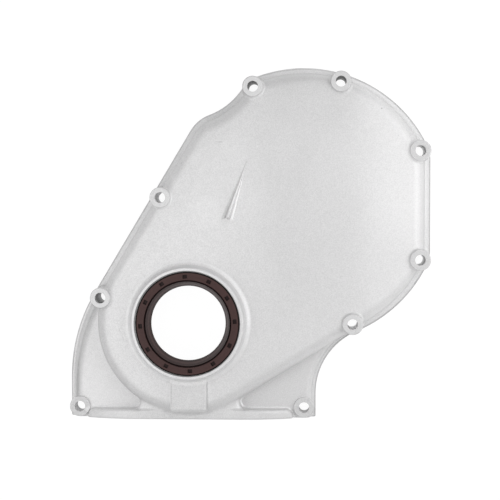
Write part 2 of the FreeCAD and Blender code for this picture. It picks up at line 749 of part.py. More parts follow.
fillet(cover, "pan_corners", "Sizes.pan_corner",
       lambda at, edge: abs(at.y - PAN) < 0.001 and edge.BoundBox.ZLength > 1
       and (abs(at.x - value(RIGHT_EDGE)) < 0.001 or abs(at.x + value(LEFT_EDGE)) < 0.001))

# Crankshaft oil seal
FRONT = "Sizes.hub_level - Sizes.seal_recess"
CASE_TOP = FRONT + " - Sizes.seal_skin"
CASE_OUTER = "Sizes.seal_radius - Sizes.seal_cover"
CASE_INNER = CASE_OUTER + " - Sizes.case_leg"
UNDER = CASE_TOP + " - Sizes.case_sheet - Sizes.seal_under"

seal_body = new_body("seal_body")
seal_sketch = sketch_on(seal_body, "seal_section", "XZ_Plane")
draw_corners(seal_sketch, [
    (CASE_OUTER, SEAT),
    ("Sizes.seal_radius - Sizes.seal_rear_rim", SEAT),
    ("Sizes.seal_radius", SEAT + " + Sizes.seal_rear_rim"),
    ("Sizes.seal_radius", FRONT + " - Sizes.seal_rim"),
    ("Sizes.seal_radius - Sizes.seal_rim", FRONT),
    (CASE_INNER + " - Sizes.seal_face_over", FRONT),
    (CASE_INNER + " - Sizes.seal_face_over", FRONT + " - Sizes.seal_groove_deep"),
    (CASE_INNER + " - Sizes.seal_groove_in", FRONT + " - Sizes.seal_groove_deep"),
    (CASE_INNER + " - Sizes.seal_groove_in", FRONT + " - Sizes.lip_top"),
    (CASE_INNER + " - Sizes.lip_in", FRONT + " - Sizes.lip_deep"),
    (CASE_INNER + " - Sizes.lip_heel_in", SEAT + " + Sizes.lip_stand"),
    (CASE_INNER + " - Sizes.lip_head_in", SEAT + " + Sizes.lip_stand"),
    (CASE_INNER + " - Sizes.lip_head_in", FRONT + " - Sizes.lip_shoulder_deep"),
    (CASE_INNER + " - Sizes.lip_neck_in", FRONT + " - Sizes.lip_neck_deep"),
    (CASE_INNER + " - Sizes.lip_root_in", UNDER),
    (CASE_INNER + " + Sizes.seal_wrap", UNDER),
    (CASE_INNER + " + Sizes.seal_wrap", CASE_TOP + " - Sizes.case_sheet"),
    (CASE_INNER, CASE_TOP + " - Sizes.case_sheet"),
    (CASE_INNER, CASE_TOP),
    (CASE_OUTER, CASE_TOP),
])
revolve(seal_body, "seal_rubber", seal_sketch)
spring_groove_sketch = sketch_on(seal_body, "spring_groove_section", "XZ_Plane")
SPRING_PLACE = [(CASE_INNER + " - Sizes.lip_head_in", FRONT + " - Sizes.spring_deep")]
draw_circles(spring_groove_sketch, SPRING_PLACE, "Sizes.spring_groove")
spring_groove = feature(seal_body, "Groove", "spring_groove")
spring_groove.Profile = spring_groove_sketch
spring_groove.ReferenceAxis = (spring_groove_sketch, ["V_Axis"])
spring_groove.Angle = 360
doc.recompute()
POCKET_CIRCLE = CASE_INNER + " + Sizes.pocket_out"
pocket_sketch = sketch_on(seal_body, "pocket_outline", "XY_Plane", [
    ("Base.z", FRONT),
    ("Rotation.Angle", "Sizes.pocket_start_angle"),
])
draw_corners(pocket_sketch, [
    (POCKET_CIRCLE + " - Sizes.pocket_across / 2", "-Sizes.pocket_wide / 2"),
    (POCKET_CIRCLE + " + Sizes.pocket_across / 2", "-Sizes.pocket_wide / 2"),
    (POCKET_CIRCLE + " + Sizes.pocket_across / 2", "Sizes.pocket_wide / 2"),
    (POCKET_CIRCLE + " - Sizes.pocket_across / 2", "Sizes.pocket_wide / 2"),
])
face_pocket = feature(seal_body, "Pocket", "face_pocket", Length="Sizes.pocket_deep")
face_pocket.Profile = pocket_sketch
doc.recompute()
face_pockets = feature(seal_body, "PolarPattern", "face_pockets", Occurrences="Sizes.pocket_count")
face_pockets.Originals = [face_pocket]
face_pockets.Axis = (pocket_sketch, ["N_Axis"])
face_pockets.Angle = 360
seal_body.Tip = face_pockets
doc.recompute()

seal_case = new_body("seal_case")
case_sketch = sketch_on(seal_case, "case_section", "XZ_Plane")
draw_corners(case_sketch, [
    (CASE_INNER, CASE_TOP + " - Sizes.case_sheet"),
    (CASE_OUTER + " - Sizes.case_sheet", CASE_TOP + " - Sizes.case_sheet"),
    (CASE_OUTER + " - Sizes.case_sheet", SEAT),
    (CASE_OUTER, SEAT),
    (CASE_OUTER, CASE_TOP),
    (CASE_INNER, CASE_TOP),
])
revolve(seal_case, "case_ring", case_sketch)

garter_spring = new_body("garter_spring")
spring_sketch = sketch_on(garter_spring, "spring_section", "XZ_Plane")
draw_circles(spring_sketch, SPRING_PLACE, "Sizes.spring_groove - Sizes.spring_gap")
revolve(garter_spring, "spring_ring", spring_sketch)

PIECES = [cover, seal_body, seal_case, garter_spring]

for each in doc.Objects:
    if "Invalid" in each.State or "Error" in each.State:
        raise RuntimeError("%s did not build: %s" % (each.Name, each.State))
os.makedirs("parts", exist_ok=True)
for piece in PIECES:
    if piece.Shape.isNull() or not piece.Shape.isValid():
        raise RuntimeError("%s has no valid shape" % piece.Label)
    piece.Shape.exportStep(os.path.join("parts", piece.Label + ".step"))
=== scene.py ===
import json
import math

import bpy
from bpy.props import FloatProperty, FloatVectorProperty, IntProperty, PointerProperty
from mathutils import Euler, Matrix, Vector


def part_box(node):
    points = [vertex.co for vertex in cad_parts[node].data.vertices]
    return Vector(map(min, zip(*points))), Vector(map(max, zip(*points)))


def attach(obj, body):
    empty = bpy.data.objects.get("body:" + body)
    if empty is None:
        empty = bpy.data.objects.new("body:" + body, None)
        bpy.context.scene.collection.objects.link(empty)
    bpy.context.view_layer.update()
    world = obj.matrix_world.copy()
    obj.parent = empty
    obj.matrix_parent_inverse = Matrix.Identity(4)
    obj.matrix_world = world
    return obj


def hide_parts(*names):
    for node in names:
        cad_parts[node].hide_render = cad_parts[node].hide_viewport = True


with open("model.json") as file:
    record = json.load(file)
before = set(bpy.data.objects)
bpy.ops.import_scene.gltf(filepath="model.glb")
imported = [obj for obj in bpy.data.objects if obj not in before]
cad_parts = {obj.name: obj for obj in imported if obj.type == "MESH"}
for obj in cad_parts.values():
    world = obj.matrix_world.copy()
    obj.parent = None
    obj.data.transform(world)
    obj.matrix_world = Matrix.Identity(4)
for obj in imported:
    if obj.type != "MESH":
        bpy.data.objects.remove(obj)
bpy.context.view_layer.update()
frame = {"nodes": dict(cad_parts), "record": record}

bl_info = {
    "name": "Timing cover",
    "version": (1, 0, 0),
    "blender": (4, 5, 0),
    "location": "View3D > Sidebar > Timing cover",
    "description": "Finishes a cast timing cover with its crankshaft seal and sets it on a studio stage",
    "category": "Object",
}

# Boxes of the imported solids, in metres
COVER_LOW, COVER_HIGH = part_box("timing_cover")
SEAL_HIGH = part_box("seal_body")[1]
SPRING_LOW, SPRING_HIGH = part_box("garter_spring")

# Levels and edges read from those boxes, in millimetres
MM = 1000
HUB_LEVEL = COVER_HIGH.z * MM
RIGHT_EDGE = COVER_HIGH.x * MM
PAN_FACE = COVER_LOW.y * MM
SEAL_FRONT = SEAL_HIGH.z * MM
SEAL_RADIUS = SEAL_HIGH.x * MM

# Levels of the casting's other flat faces above the gasket face, in millimetres
FLANGE_LEVEL = 4.5
WEB_LEVEL = 10
CORNER_BOSS_LEVEL = 12.3
FACE_LEVEL = 24.5
BOSS_LEVEL = 27

# Round edges seen from the front, in millimetres. The crank wall, the hub and the lip are round the origin.
CAM_CENTRE = (75, 77)
RIM_RADIUS = 91.2
LEFT_ARC_CENTRE = (50.2, -45.3)
LEFT_ARC_RADIUS = 131.7
CRANK_RADIUS = 65.5
HUB_RADIUS = SEAL_RADIUS + 2.5
LIP_RADIUS = 27.5

# Centre of the painted shadow line round the seal, in the gap between casting and seal, which lies a little
# to the left, in millimetres
SEAL_SHADOW_CENTRE = (-0.3, 0.1)

# Directions across the sloping upper left edge and across the lower right edge, seen from the front
SLOPE_WAY = (-0.86, 0.51)
LOW_EDGE_WAY = (0.6, -0.8)

# How far a surface faces straight forward or back where it counts as flat, from not at all to wholly
FLAT = (0.985, 0.998)

# Painted light and shade on the wall of each bolt hole: how much lighter it is, and the half size in
# millimetres that holds one hole
HOLE_WALL_LIGHT = {
    "bolt_a": -0.6,
    "bolt_b": -0.6,
    "bolt_e": 0.5,
    "bolt_f": -0.3,
    "bolt_g": 0.3,
    "side_bolts": 0.4,
    "corner_bolts": -0.1,
}
HOLE_SPOT = (5, 5)

# The hole with two rings of painted light inside: lower and upper level and soft ends of each, in
# millimetres
RINGED_HOLE = "bolt_f"
HOLE_RINGS = ((21.5, 22.5, 0.4), (15.0, 16.0, 0.5))
RING_SHARE = 0.6

# Tapered rib: its tip, and how far under the tip it starts and ends, in millimetres
RIB_TIP = (38.9, 107.7)
RIB_LENGTH = (2.0, 39.5)

# Leans of the rib's sides, as millimetres to the left for each one down from the tip
RIB_LEANS = (0.24, 0.46)

# Stripes of painted light and shade along the rib: two leans, the softness of the ends, and how much lighter
# it is between them
RIB_PAINTED_STRIPES = (
    (0.380, 0.445, 0.012, -0.17),
    (0.345, 0.375, 0.008, 0.12),
    (0.315, 0.345, 0.008, -0.16),
    (0.242, 0.315, 0.015, 0.13),
)

# Marks on the front, and painted light and shade along the rail, the pad and the rib's foot: place and half
# size in millimetres, turn in degrees, and how much lighter they are
MARKS_AND_PAINTED_LIGHT = (
    ((20.4, 118.4), (2.6, 0.30), -4, -0.22),
    ((45.3, 115.3), (0.9, 0.45), 60, 0.16),
    ((125.8, 139.9), (0.55, 0.5), 0, -0.40),
    ((120.4, 141.4), (0.7, 0.4), 30, -0.14),
    ((136.7, 122.3), (0.4, 0.4), 0, -0.25),
    ((-4.7, 104.7), (0.6, 0.5), 0, -0.14),
    ((-60.9, 8.3), (0.8, 0.5), 20, -0.14),
    ((-45.4, -5.0), (1.9, 0.28), -70, -0.16),
    ((-43.4, -9.6), (1.6, 0.26), -65, -0.14),
    ((-42.0, -6.4), (1.5, 0.24), -78, -0.12),
    ((-40.6, -11.8), (1.2, 0.26), -30, -0.12),
    ((-37.1, 15.0), (0.45, 2.8), 0, -0.12),
    ((-55.0, 1.4), (0.3, 2.4), 8, -0.08),
    ((-66.8, -21.7), (2.0, 0.28), -50, -0.10),
    # Painted shade along the rail beside its pockets, and a lighter spot at its left end
    ((-30.0, -57.9), (8.0, 0.9), 0, -0.20),
    ((34.0, -57.5), (7.0, 0.9), 0, -0.20),
    ((-68.0, -59.0), (2.6, 2.2), 0, 0.18),
    # Painted light and shade along the sides of the pad under the hub
    ((-12.4, -46.0), (0.35, 8.0), 0, 0.08),
    ((-11.3, -47.0), (0.40, 9.5), 0, -0.17),
    ((11.4, -45.0), (0.35, 8.0), 0, 0.06),
    ((12.6, -47.0), (0.35, 9.5), 0, -0.14),
    ((13.4, -43.0), (0.35, 6.0), 0, 0.08),
    # Painted shade and light at the foot of the rib
    ((25.3, 69.0), (1.7, 0.9), -15, -0.20),
    ((22.8, 68.4), (1.5, 0.5), 20, -0.14),
    ((28.4, 67.6), (1.4, 1.1), 0, 0.14),
)

# Sides of the flat pad under the hub, and the middle and half size of a patch of painted light, in
# millimetres
PAD_SIDES = (-11.3, 12.6)
PATCH_PLACE = (12, 72)
PATCH_SIZE = (12, 12)

# Spring: sides of its wire, and the distance in metres under which points are joined
WIRE_SIDES = 6
JOIN_DISTANCE = 0.00001

# Lamps by name: degrees round the object from the right, degrees up, distance and width in metres, and watts
LAMPS = {
    "right_low": (0, 40, 0.36, 0.28, 0.276),
    "right_high": (0, 55, 0.36, 0.28, 0.118),
    "right_back": (45, 40, 0.36, 0.28, 0.136),
    "left_front": (210, 55, 0.36, 0.28, 0.152),
    "left": (180, 55, 0.36, 0.28, 0.154),
    "back_top": (90, 75, 0.90, 0.6, 0.140),
}
LAMP_TARGET = (0.04, 0.05, 0.0)

# Floor: width and depth under the gasket face in metres, colour, and how it glows for the camera
FLOOR_WIDTH = 6
FLOOR_GAP = 0.0001
FLOOR_COLOUR = (0.8, 0.8, 0.8, 1)
FLOOR_GLOW = 1.07
FLOOR_GLOW_SHARE = 0.9


class CastingLook(bpy.types.PropertyGroup):
    """Colours and grain of the casting"""
    cast_colour: FloatVectorProperty(
        name="Cast colour", description="Colour of the blasted cast surface",
        subtype="COLOR", size=3, min=0, max=1, default=(0.700, 0.697, 0.700))
    machined_colour: FloatVectorProperty(
        name="Machined colour", description="Colour of the turned hub face",
        subtype="COLOR", size=3, min=0, max=1, default=(0.700, 0.697, 0.700))
    boss_colour: FloatVectorProperty(
        name="Boss colour", description="Colour of the milled boss tops",
        subtype="COLOR", size=3, min=0, max=1, default=(0.660, 0.658, 0.660))
    cast_roughness: FloatProperty(
        name="Cast roughness", description="Roughness of the blasted surface", min=0, max=1, default=0.5)
    metal_share: FloatProperty(
        name="Metal share", description="How metallic the blasted surface looks", min=0, max=1, default=0.35)
    grain_size: FloatProperty(
        name="Grain size", description="Width of the blasted grain, in millimetres", min=0.05, default=0.55)
    mottle_size: FloatProperty(
        name="Mottle size", description="Width of the soft mottling, in millimetres", min=0.5, default=3.0)


class SealLook(bpy.types.PropertyGroup):
    """Colours of the crankshaft seal"""
    rubber_colour: FloatVectorProperty(
        name="Rubber colour", description="Colour of the seal's moulded face",
        subtype="COLOR", size=3, min=0, max=1, default=(0.060, 0.032, 0.030))
    # The rim colour is painted shadow in the gap round the seal
    rim_shadow_colour: FloatVectorProperty(
        name="Rim colour", description="Colour of the pressed-in outer rim",
        subtype="COLOR", size=3, min=0, max=1, default=(0.012, 0.009, 0.008))
    # The groove colour is painted shade in the groove round the lip and in the pockets
    groove_shade_colour: FloatVectorProperty(
        name="Groove colour", description="Colour of the groove round the lip and of the pockets",
        subtype="COLOR", size=3, min=0, max=1, default=(0.012, 0.004, 0.004))
    lip_colour: FloatVectorProperty(
        name="Lip colour", description="Colour of the sealing lip",
        subtype="COLOR", size=3, min=0, max=1, default=(0.033, 0.015, 0.014))
    steel_colour: FloatVectorProperty(
        name="Steel colour", description="Colour of the case and the spring",
        subtype="COLOR", size=3, min=0, max=1, default=(0.50, 0.50, 0.51))


class SpringShape(bpy.types.PropertyGroup):
    """Winding of the garter spring"""
    pitch: FloatProperty(
        name="Pitch", description="Distance from one turn of the spring to the next",
        subtype="DISTANCE", unit="LENGTH", min=0.0003, default=0.0005, precision=5)
    wire: FloatProperty(
        name="Wire", description="Radius of the spring's wire",
        subtype="DISTANCE", unit="LENGTH", min=0.00005, default=0.0002, precision=5)
    steps: IntProperty(name="Steps", description="Stretches of wire in each turn", min=6, default=10)


class StageLook(bpy.types.PropertyGroup):
    """Camera and light of the stage"""
    camera_place: FloatVectorProperty(
        name="Camera place", description="Where the camera stands",
        subtype="TRANSLATION", size=3, unit="LENGTH", default=(0.080163, 0.075318, 0.900))
    camera_target: FloatVectorProperty(
        name="Camera target", description="Point at the middle of the picture",
        subtype="TRANSLATION", size=3, unit="LENGTH", default=(0.039304, 0.047143, 0.0))
    lens: FloatProperty(
        name="Lens", description="Focal length in millimetres, on a 36 mm wide sensor", min=1, default=96.7)
    ambient: FloatProperty(
        name="Ambient light", description="Brightness of the surroundings", min=0, default=0.577)
    lamp_level: FloatProperty(
        name="Lamp level", description="Brightness of all lamps together", min=0, default=1.0)


class Wire:
    """A number or a colour on its way through a tree of nodes, with the usual arithmetic for numbers."""

    def __init__(self, nodes, socket):
        self.nodes = nodes
        self.socket = socket

    def __add__(self, other):
        return self.nodes.math("ADD", self, other)

    def __sub__(self, other):
        return self.nodes.math("SUBTRACT", self, other)

    def __mul__(self, other):
        return self.nodes.math("MULTIPLY", self, other)

    def __truediv__(self, other):
        return self.nodes.math("DIVIDE", self, other)

    def __rsub__(self, other):
        return self.nodes.math("SUBTRACT", other, self)

    __radd__ = __add__
    __rmul__ = __mul__


class Nodes:
    """The tree of nodes of a material or of the surroundings."""

    def __init__(self, owner):
        owner.use_nodes = True
        self.tree = owner.node_tree
        self.tree.nodes.clear()

    def node(self, kind, settings=None, inputs=None, output=0):
        """Adds a node, with its settings first and then the values or wires of its sockets."""
        made = self.tree.nodes.new("ShaderNode" + kind)
        for name, setting in (settings or {}).items():
            setattr(made, name, setting)
        for name, given in (inputs or {}).items():
            if isinstance(given, Wire):
                self.tree.links.new(given.socket, made.inputs[name])
            else:
                made.inputs[name].default_value = given
        return Wire(self, made.outputs[output])

    def math(self, operation, *numbers):
        """One step of arithmetic."""
        return self.node("Math", {"operation": operation}, dict(enumerate(numbers)))

    def seen_by(self, *rays):
        """1 for the rays of the given kinds, and 0 for all others."""
        seen = self.node("LightPath", output=rays[0])
        for ray in rays[1:]:
            seen = self.math("MAXIMUM", seen, self.node("LightPath", output=ray))
        return seen

    def end(self, kind, surface):
        """Ends the tree with its output."""
        output = self.tree.nodes.new("ShaderNodeOutput" + kind)
        self.tree.links.new(surface.socket, output.inputs["Surface"])


class Shader(Nodes):
    """A material made from the place on its piece and from the way that its surface faces."""

    def __init__(self, name):
        self.material = bpy.data.materials.new(name)
        super().__init__(self.material)
        self.place = self.node("TexCoord", output="Object")
        self.x, self.y, self.z = [part * MM for part in self.parts(self.place)]
        self.facing_right, self.facing_up, self.facing = self.parts(self.node("TexCoord", output="Normal"))
        self.reach = self.distance((0, 0))

    def parts(self, vector):
        """The three coordinates of a place or a direction."""
        return [self.node("SeparateXYZ", {}, {0: vector}, number) for number in range(3)]

    def distance(self, centre):
        """Millimetres from a point, seen from the front."""
        across, up = self.x - centre[0], self.y - centre[1]
        return self.math("SQRT", across * across + up * up)

    def along(self, way):
        """Millimetres from the origin in a direction, seen from the front."""
        return self.x * way[0] + self.y * way[1]

    def above(self, number, low, high):
        """0 below low and 1 above high, with a soft step between them."""
        return self.node("MapRange", {"interpolation_type": "SMOOTHSTEP"},
                         {"Value": number, "From Min": low, "From Max": high})

    def below(self, number, low, high):
        """1 below low and 0 above high, with a soft step between them."""
        return 1 - self.above(number, low, high)

    def band(self, number, low, high, soft=0.1):
        """1 between two limits and 0 outside them, with soft ends."""
        return self.above(number, low - soft, low + soft) * self.below(number, high - soft, high + soft)

    def spot(self, place, size, turn=0):
        """1 in a small ellipse with a soft edge, seen from the front, and 0 round it."""
        across, up = self.x - place[0], self.y - place[1]
        lean = math.radians(turn)
        along = (across * math.cos(lean) + up * math.sin(lean)) / size[0]
        aside = (up * math.cos(lean) - across * math.sin(lean)) / size[1]
        return self.below(along * along + aside * aside, 0.2, 1.4)

    def noise(self, size, detail=2.0, roughness=0.5, seed=0.0):
        """Noise from 0 to 1, of a size in millimetres."""
        return self.node("TexNoise", {"noise_dimensions": "4D"},
                         {"Vector": self.place, "W": seed, "Scale": MM / size, "Detail": detail,
                          "Roughness": roughness})

    def mix(self, share, one, two):
        """A colour between two colours."""
        ends = [each if isinstance(each, Wire) else (*each, 1) for each in (one, two)]
        return self.node("Mix", {"data_type": "RGBA"}, {0: share, 6: ends[0], 7: ends[1]}, 2)

    def shade(self, colour, amount):
        """A colour made lighter or darker by an amount."""
        return self.node("VectorMath", {"operation": "SCALE"}, {0: colour, "Scale": amount})

    def finish(self, inputs):
        """Adds the surface, with the values or wires of its sockets, and gives back the material."""
        self.end("Material", self.node("BsdfPrincipled", {}, inputs))
        return self.material


class CastingShader(Shader):
    """The casting's material, with the masks that several of its functions use."""

    def __init__(self, name):
        super().__init__(name)
        self.flat = self.above(self.facing, *FLAT)
        self.slope = self.band(self.facing, 0.15, 0.93, 0.06)
        self.to_right = self.above(self.facing_right, 0.05, 0.5)
        self.to_left = self.above(0 - self.facing_right, 0.05, 0.5)
        self.far_right = self.above(self.x, 120, 150)
        self.far_back = self.above(self.y, 140, 160)
        self.by_rail = self.below(self.y, -53, -48)
        self.on_web = self.above(self.reach, CRANK_RADIUS - 2, CRANK_RADIUS + 0.5)
        self.on_web = self.on_web * self.below(self.y, 5, 18)
        self.on_face = self.above(self.z, FACE_LEVEL - 2.5, FACE_LEVEL - 0.5)
        self.over_slope = self.along(SLOPE_WAY)

    def flat_at(self, level):
        """1 on the flat faces at one level, and 0 elsewhere."""
        return self.band(self.z, level - 0.1, level + 0.1, 0.05) * self.flat


def flange_painted_shading(shader):
    """Painted light and shade: how much lighter the flange is, and darker on its edge and at the foot of the
    walls on it.
    """
    low_right = shader.above(shader.x, 100, 115) * shader.below(shader.y, 30, 55)
    edge = shader.band(shader.z, FLANGE_LEVEL - 1.5, FLANGE_LEVEL - 0.03, 0.04)
    foot = shader.band(shader.z, FLANGE_LEVEL + 0.1, FLANGE_LEVEL + 1.4) * shader.slope
    foot = foot * (1 - shader.on_web)
    change = shader.flat_at(FLANGE_LEVEL) * (0.08 + shader.far_back * 0.12 - shader.far_right * 0.03)
    change = change - foot * (0.10 + shader.to_left * 0.06 - low_right * 0.16)
    return change - edge * (0.13 + shader.to_right * 0.14) * (1 - shader.far_back)


def web_painted_shading(shader):
    """Painted light and shade: how much lighter or darker the two low webs are, on their tops, sides and
    feet.
    """
    side = shader.band(shader.z, FLANGE_LEVEL + 1.5, WEB_LEVEL - 0.03, 0.15)
    side = side * shader.below(shader.facing, 0.45, 0.99) * shader.on_web
    foot = shader.band(shader.z, WEB_LEVEL + 0.1, WEB_LEVEL + 1.6) * shader.slope
    change = shader.flat_at(WEB_LEVEL) * (0.045 - shader.above(shader.x, -20, 20) * 0.06)
    change = change + side * (shader.to_right * 0.08 - shader.to_left * 0.10)
    return change + foot * (shader.by_rail * 0.20 + 0.04)


def wall_painted_shading(shader):
    """Painted light and shade: how much lighter or darker the gear cover is where its walls turn over into
    its face.
    """
    to_back = shader.above(shader.facing_up, 0.5, 0.9)
    edge = shader.band(shader.z, FACE_LEVEL - 7.9, FACE_LEVEL - 0.3, 0.3) * shader.slope
    wall = shader.band(shader.z, FACE_LEVEL - 11.5, FACE_LEVEL - 1.5, 0.5) * (1 - shader.by_rail)
    wall = wall * shader.below(shader.facing, 0.05, 0.75)
    shoulder = shader.band(shader.z, FACE_LEVEL - 2.5, FACE_LEVEL - 0.02) * shader.far_right
    shoulder = shoulder * shader.band(shader.facing, 0.88, 0.998, 0.01)
    change = edge * (shader.to_right * (0.09 - shader.far_right * 0.08) + to_back * 0.04)
    change = change - wall * (0.14 + shader.to_left * 0.08 + shader.far_right * 0.10)
    return change - shoulder * 0.06


def boss_painted_shading(shader):
    """Painted light and shade: how much lighter or darker the bolt bosses are round their feet and their
    tops.
    """
    foot = shader.band(shader.z, FACE_LEVEL + 0.1, BOSS_LEVEL - 0.8) * shader.slope
    edge = shader.band(shader.z, BOSS_LEVEL - 0.6, BOSS_LEVEL - 0.05) * shader.slope
    corner_edge = shader.band(shader.z, WEB_LEVEL + 0.3, CORNER_BOSS_LEVEL - 0.1) * shader.by_rail
    corner_edge = corner_edge * shader.above(shader.reach, 85, 87)
    return foot * (shader.facing_right - shader.facing_up) * 0.10 - edge * 0.12 - corner_edge * 0.12


def hub_painted_shading(shader):
    """Painted light and shade: how much lighter or darker the hub is on its side and round its foot, with a
    painted shadow beside the seal.
    """
    side = shader.band(shader.reach, HUB_RADIUS + 0.9, HUB_RADIUS + 4.7, 0.8)
    side = side * shader.band(shader.z, FACE_LEVEL + 0.1, HUB_LEVEL - 0.7)
    line = shader.band(shader.reach, HUB_RADIUS + 0.1, HUB_RADIUS + 1.9, 0.4)
    line = line * shader.band(shader.z, FACE_LEVEL + 0.1, HUB_LEVEL - 0.6)
    ring = shader.band(shader.reach, HUB_RADIUS + 3.1, HUB_RADIUS + 5.1, 0.4)
    ring = ring * shader.above(0 - shader.facing_right, 0.1, 0.6)
    # Painted shadow in the gap between the casting and the seal
    seal_shadow = shader.below(shader.distance(SEAL_SHADOW_CENTRE), SEAL_RADIUS + 0.4, SEAL_RADIUS + 0.8)
    seal_shadow = seal_shadow * shader.above(shader.z, HUB_LEVEL - 1.2, HUB_LEVEL - 0.8)
    change = side * 0.12 + ring * 0.05 - seal_shadow * 0.7
    return change - line * (shader.facing_up * 0.14 + shader.to_left * 0.05)


def rim_painted_shade(shader):
    """Painted shade: how much darker the casting is in the lines along the right half of its rim."""
    reach = shader.distance(CAM_CENTRE)
    upper = shader.above(shader.y, 95, 110)
    lower = shader.below(shader.y, 35, 50)
    straight = shader.band(shader.y, 45, 110, 3)
    upper_line = shader.band(reach, RIM_RADIUS - 4.1, RIM_RADIUS - 2.7, 0.4) * upper
    upper_edge = shader.above(reach, RIM_RADIUS - 1.2, RIM_RADIUS - 0.5) * upper
    lower_line = shader.band(reach, RIM_RADIUS - 5.7, RIM_RADIUS - 4.3, 0.4) * lower
    lower_edge = shader.above(reach, RIM_RADIUS - 1.8, RIM_RADIUS - 1.1) * lower
    straight_line = shader.band(shader.x, RIGHT_EDGE - 5.2, RIGHT_EDGE - 3.7, 0.3) * straight
    straight_edge = shader.above(shader.x, RIGHT_EDGE - 2.3, RIGHT_EDGE - 1.6) * straight
    arcs = upper_line * 0.09 + upper_edge * 0.12 + lower_line * 0.06 + lower_edge * 0.06
    return shader.above(shader.x, 75, 115) * arcs + straight_line * 0.12 + straight_edge * 0.10


def crank_wall_shade(shader):
    """How much darker the casting is just inside its round wall on the crank side."""
    here = shader.below(shader.y, 15, 35) * shader.below(shader.x, 10, 35)
    here = here * (0.2 + shader.above(shader.y, -52, -34) * 0.8)
    here = here * shader.above(shader.z, WEB_LEVEL + 1.5, WEB_LEVEL + 4)
    shade = shader.above(shader.reach, CRANK_RADIUS - 15.5, CRANK_RADIUS - 8)
    shade = shade * shader.below(shader.reach, CRANK_RADIUS - 1.7, CRANK_RADIUS - 0.5)
    line = shader.band(shader.reach, CRANK_RADIUS - 3.5, CRANK_RADIUS - 1.1, 0.5)
    return here * (shade * 0.09 + line * 0.08)


def left_web_shade(shader):
    """How much darker the left web is beside its outer edge."""
    reach = shader.distance(LEFT_ARC_CENTRE)
    shade = shader.above(reach, LEFT_ARC_RADIUS - 10.2, LEFT_ARC_RADIUS - 5.9)
    shade = shade * shader.below(reach, LEFT_ARC_RADIUS - 5.5, LEFT_ARC_RADIUS - 3.9)
    here = shader.below(shader.y, 8, 14) * shader.above(shader.y, -55, -48)
    here = here * shader.above(shader.z, FLANGE_LEVEL + 0.5, FLANGE_LEVEL + 1.5)
    here = here * shader.below(shader.x, -50, -40)
    return shade * here * 0.32


def rib_painted_shading(shader):
    """Painted light and shade: how much lighter the tapered rib is on its right side and darker on its left.
    """
    down = RIB_TIP[1] - shader.y
    lean = (RIB_TIP[0] - shader.x) / down
    rib = shader.band(lean, *RIB_LEANS, 0.01) * shader.band(down, *RIB_LENGTH, 1.0)
    raised = shader.above(shader.z, FACE_LEVEL + 0.02, FACE_LEVEL + 0.1)
    change = raised * shader.above(shader.facing_right, 0, 0.7) * 0.22
    for start, end, soft, lighter in RIB_PAINTED_STRIPES:
        change = change + shader.band(lean, start, end, soft) * lighter
    return rib * change


def broad_painted_shading(shader):
    """Painted light and shade: how much lighter or darker the casting is over wide, soft patches of its
    front.
    """
    left = shader.above(shader.over_slope, -12, 10) * shader.below(shader.over_slope, 34, 60)
    middle = shader.band(shader.x, 52, 112, 12) * shader.above(shader.y, -15, 25)
    upper = shader.band(shader.x, 80, 120, 10) * shader.above(shader.y, 70, 95)
    column = shader.band(shader.x, 38, 58, 6) * shader.band(shader.y, 88, 126, 6)
    right = shader.above(shader.x, 105, 138) * (0.03 + shader.above(shader.y, 35, 85) * 0.06)
    top = shader.above(shader.y, 112, 142) * shader.below(shader.x, 85, 120)
    top = top * shader.above(shader.z, 12, 20)
    back = shader.above(shader.y, 142, 156) * shader.on_face
    low_edge = shader.above(shader.along(LOW_EDGE_WAY), 60, 78) * shader.above(shader.z, 18, 22)
    pad = shader.band(shader.x, *PAD_SIDES, 0.3) * shader.below(shader.y, -38, -37) * shader.on_face
    rail = shader.below(shader.y, -58.5, -57.5) * (1 - shader.above(shader.x, -20, 20) * 0.7)
    patch = shader.spot(PATCH_PLACE, PATCH_SIZE)
    lighter = left * 0.05 + patch * 0.035 + upper * 0.03 + right + low_edge * 0.035
    return lighter - middle * 0.045 - column * 0.04 - top * 0.065 - back * 0.03 - pad * 0.045 - rail * 0.06


def bolt_centres(mount):
    """Centre of a bolt hole, or the centres of a row of two, in millimetres."""
    place = Vector(mount["pos_m"]) * MM
    if mount["kind"] == "bore":
        return [(place.x, place.y)]
    half_x = mount["dims"].get("spacing_x_mm", 0) / 2
    half_y = mount["dims"].get("spacing_y_mm", 0) / 2
    return [(place.x - half_x, place.y - half_y), (place.x + half_x, place.y + half_y)]


def hole_painted_light(shader):
    """Painted light and shade: how much lighter the walls of the bolt holes are."""
    wall = shader.below(shader.facing, 0.2, 0.4)
    rings = 0
    for low, high, soft in HOLE_RINGS:
        rings = rings + shader.band(shader.z, low, high, soft)
    change = 0
    for mount in frame["record"]["mounts"]:
        if mount["kind"] not in ("bore", "bolt_pattern"):
            continue
        lighter = HOLE_WALL_LIGHT[mount["name"]]
        if mount["name"] == RINGED_HOLE:
            lighter = lighter + rings * RING_SHARE
        for centre in bolt_centres(mount):
            change = change + shader.spot(centre, HOLE_SPOT) * wall * lighter
    return change


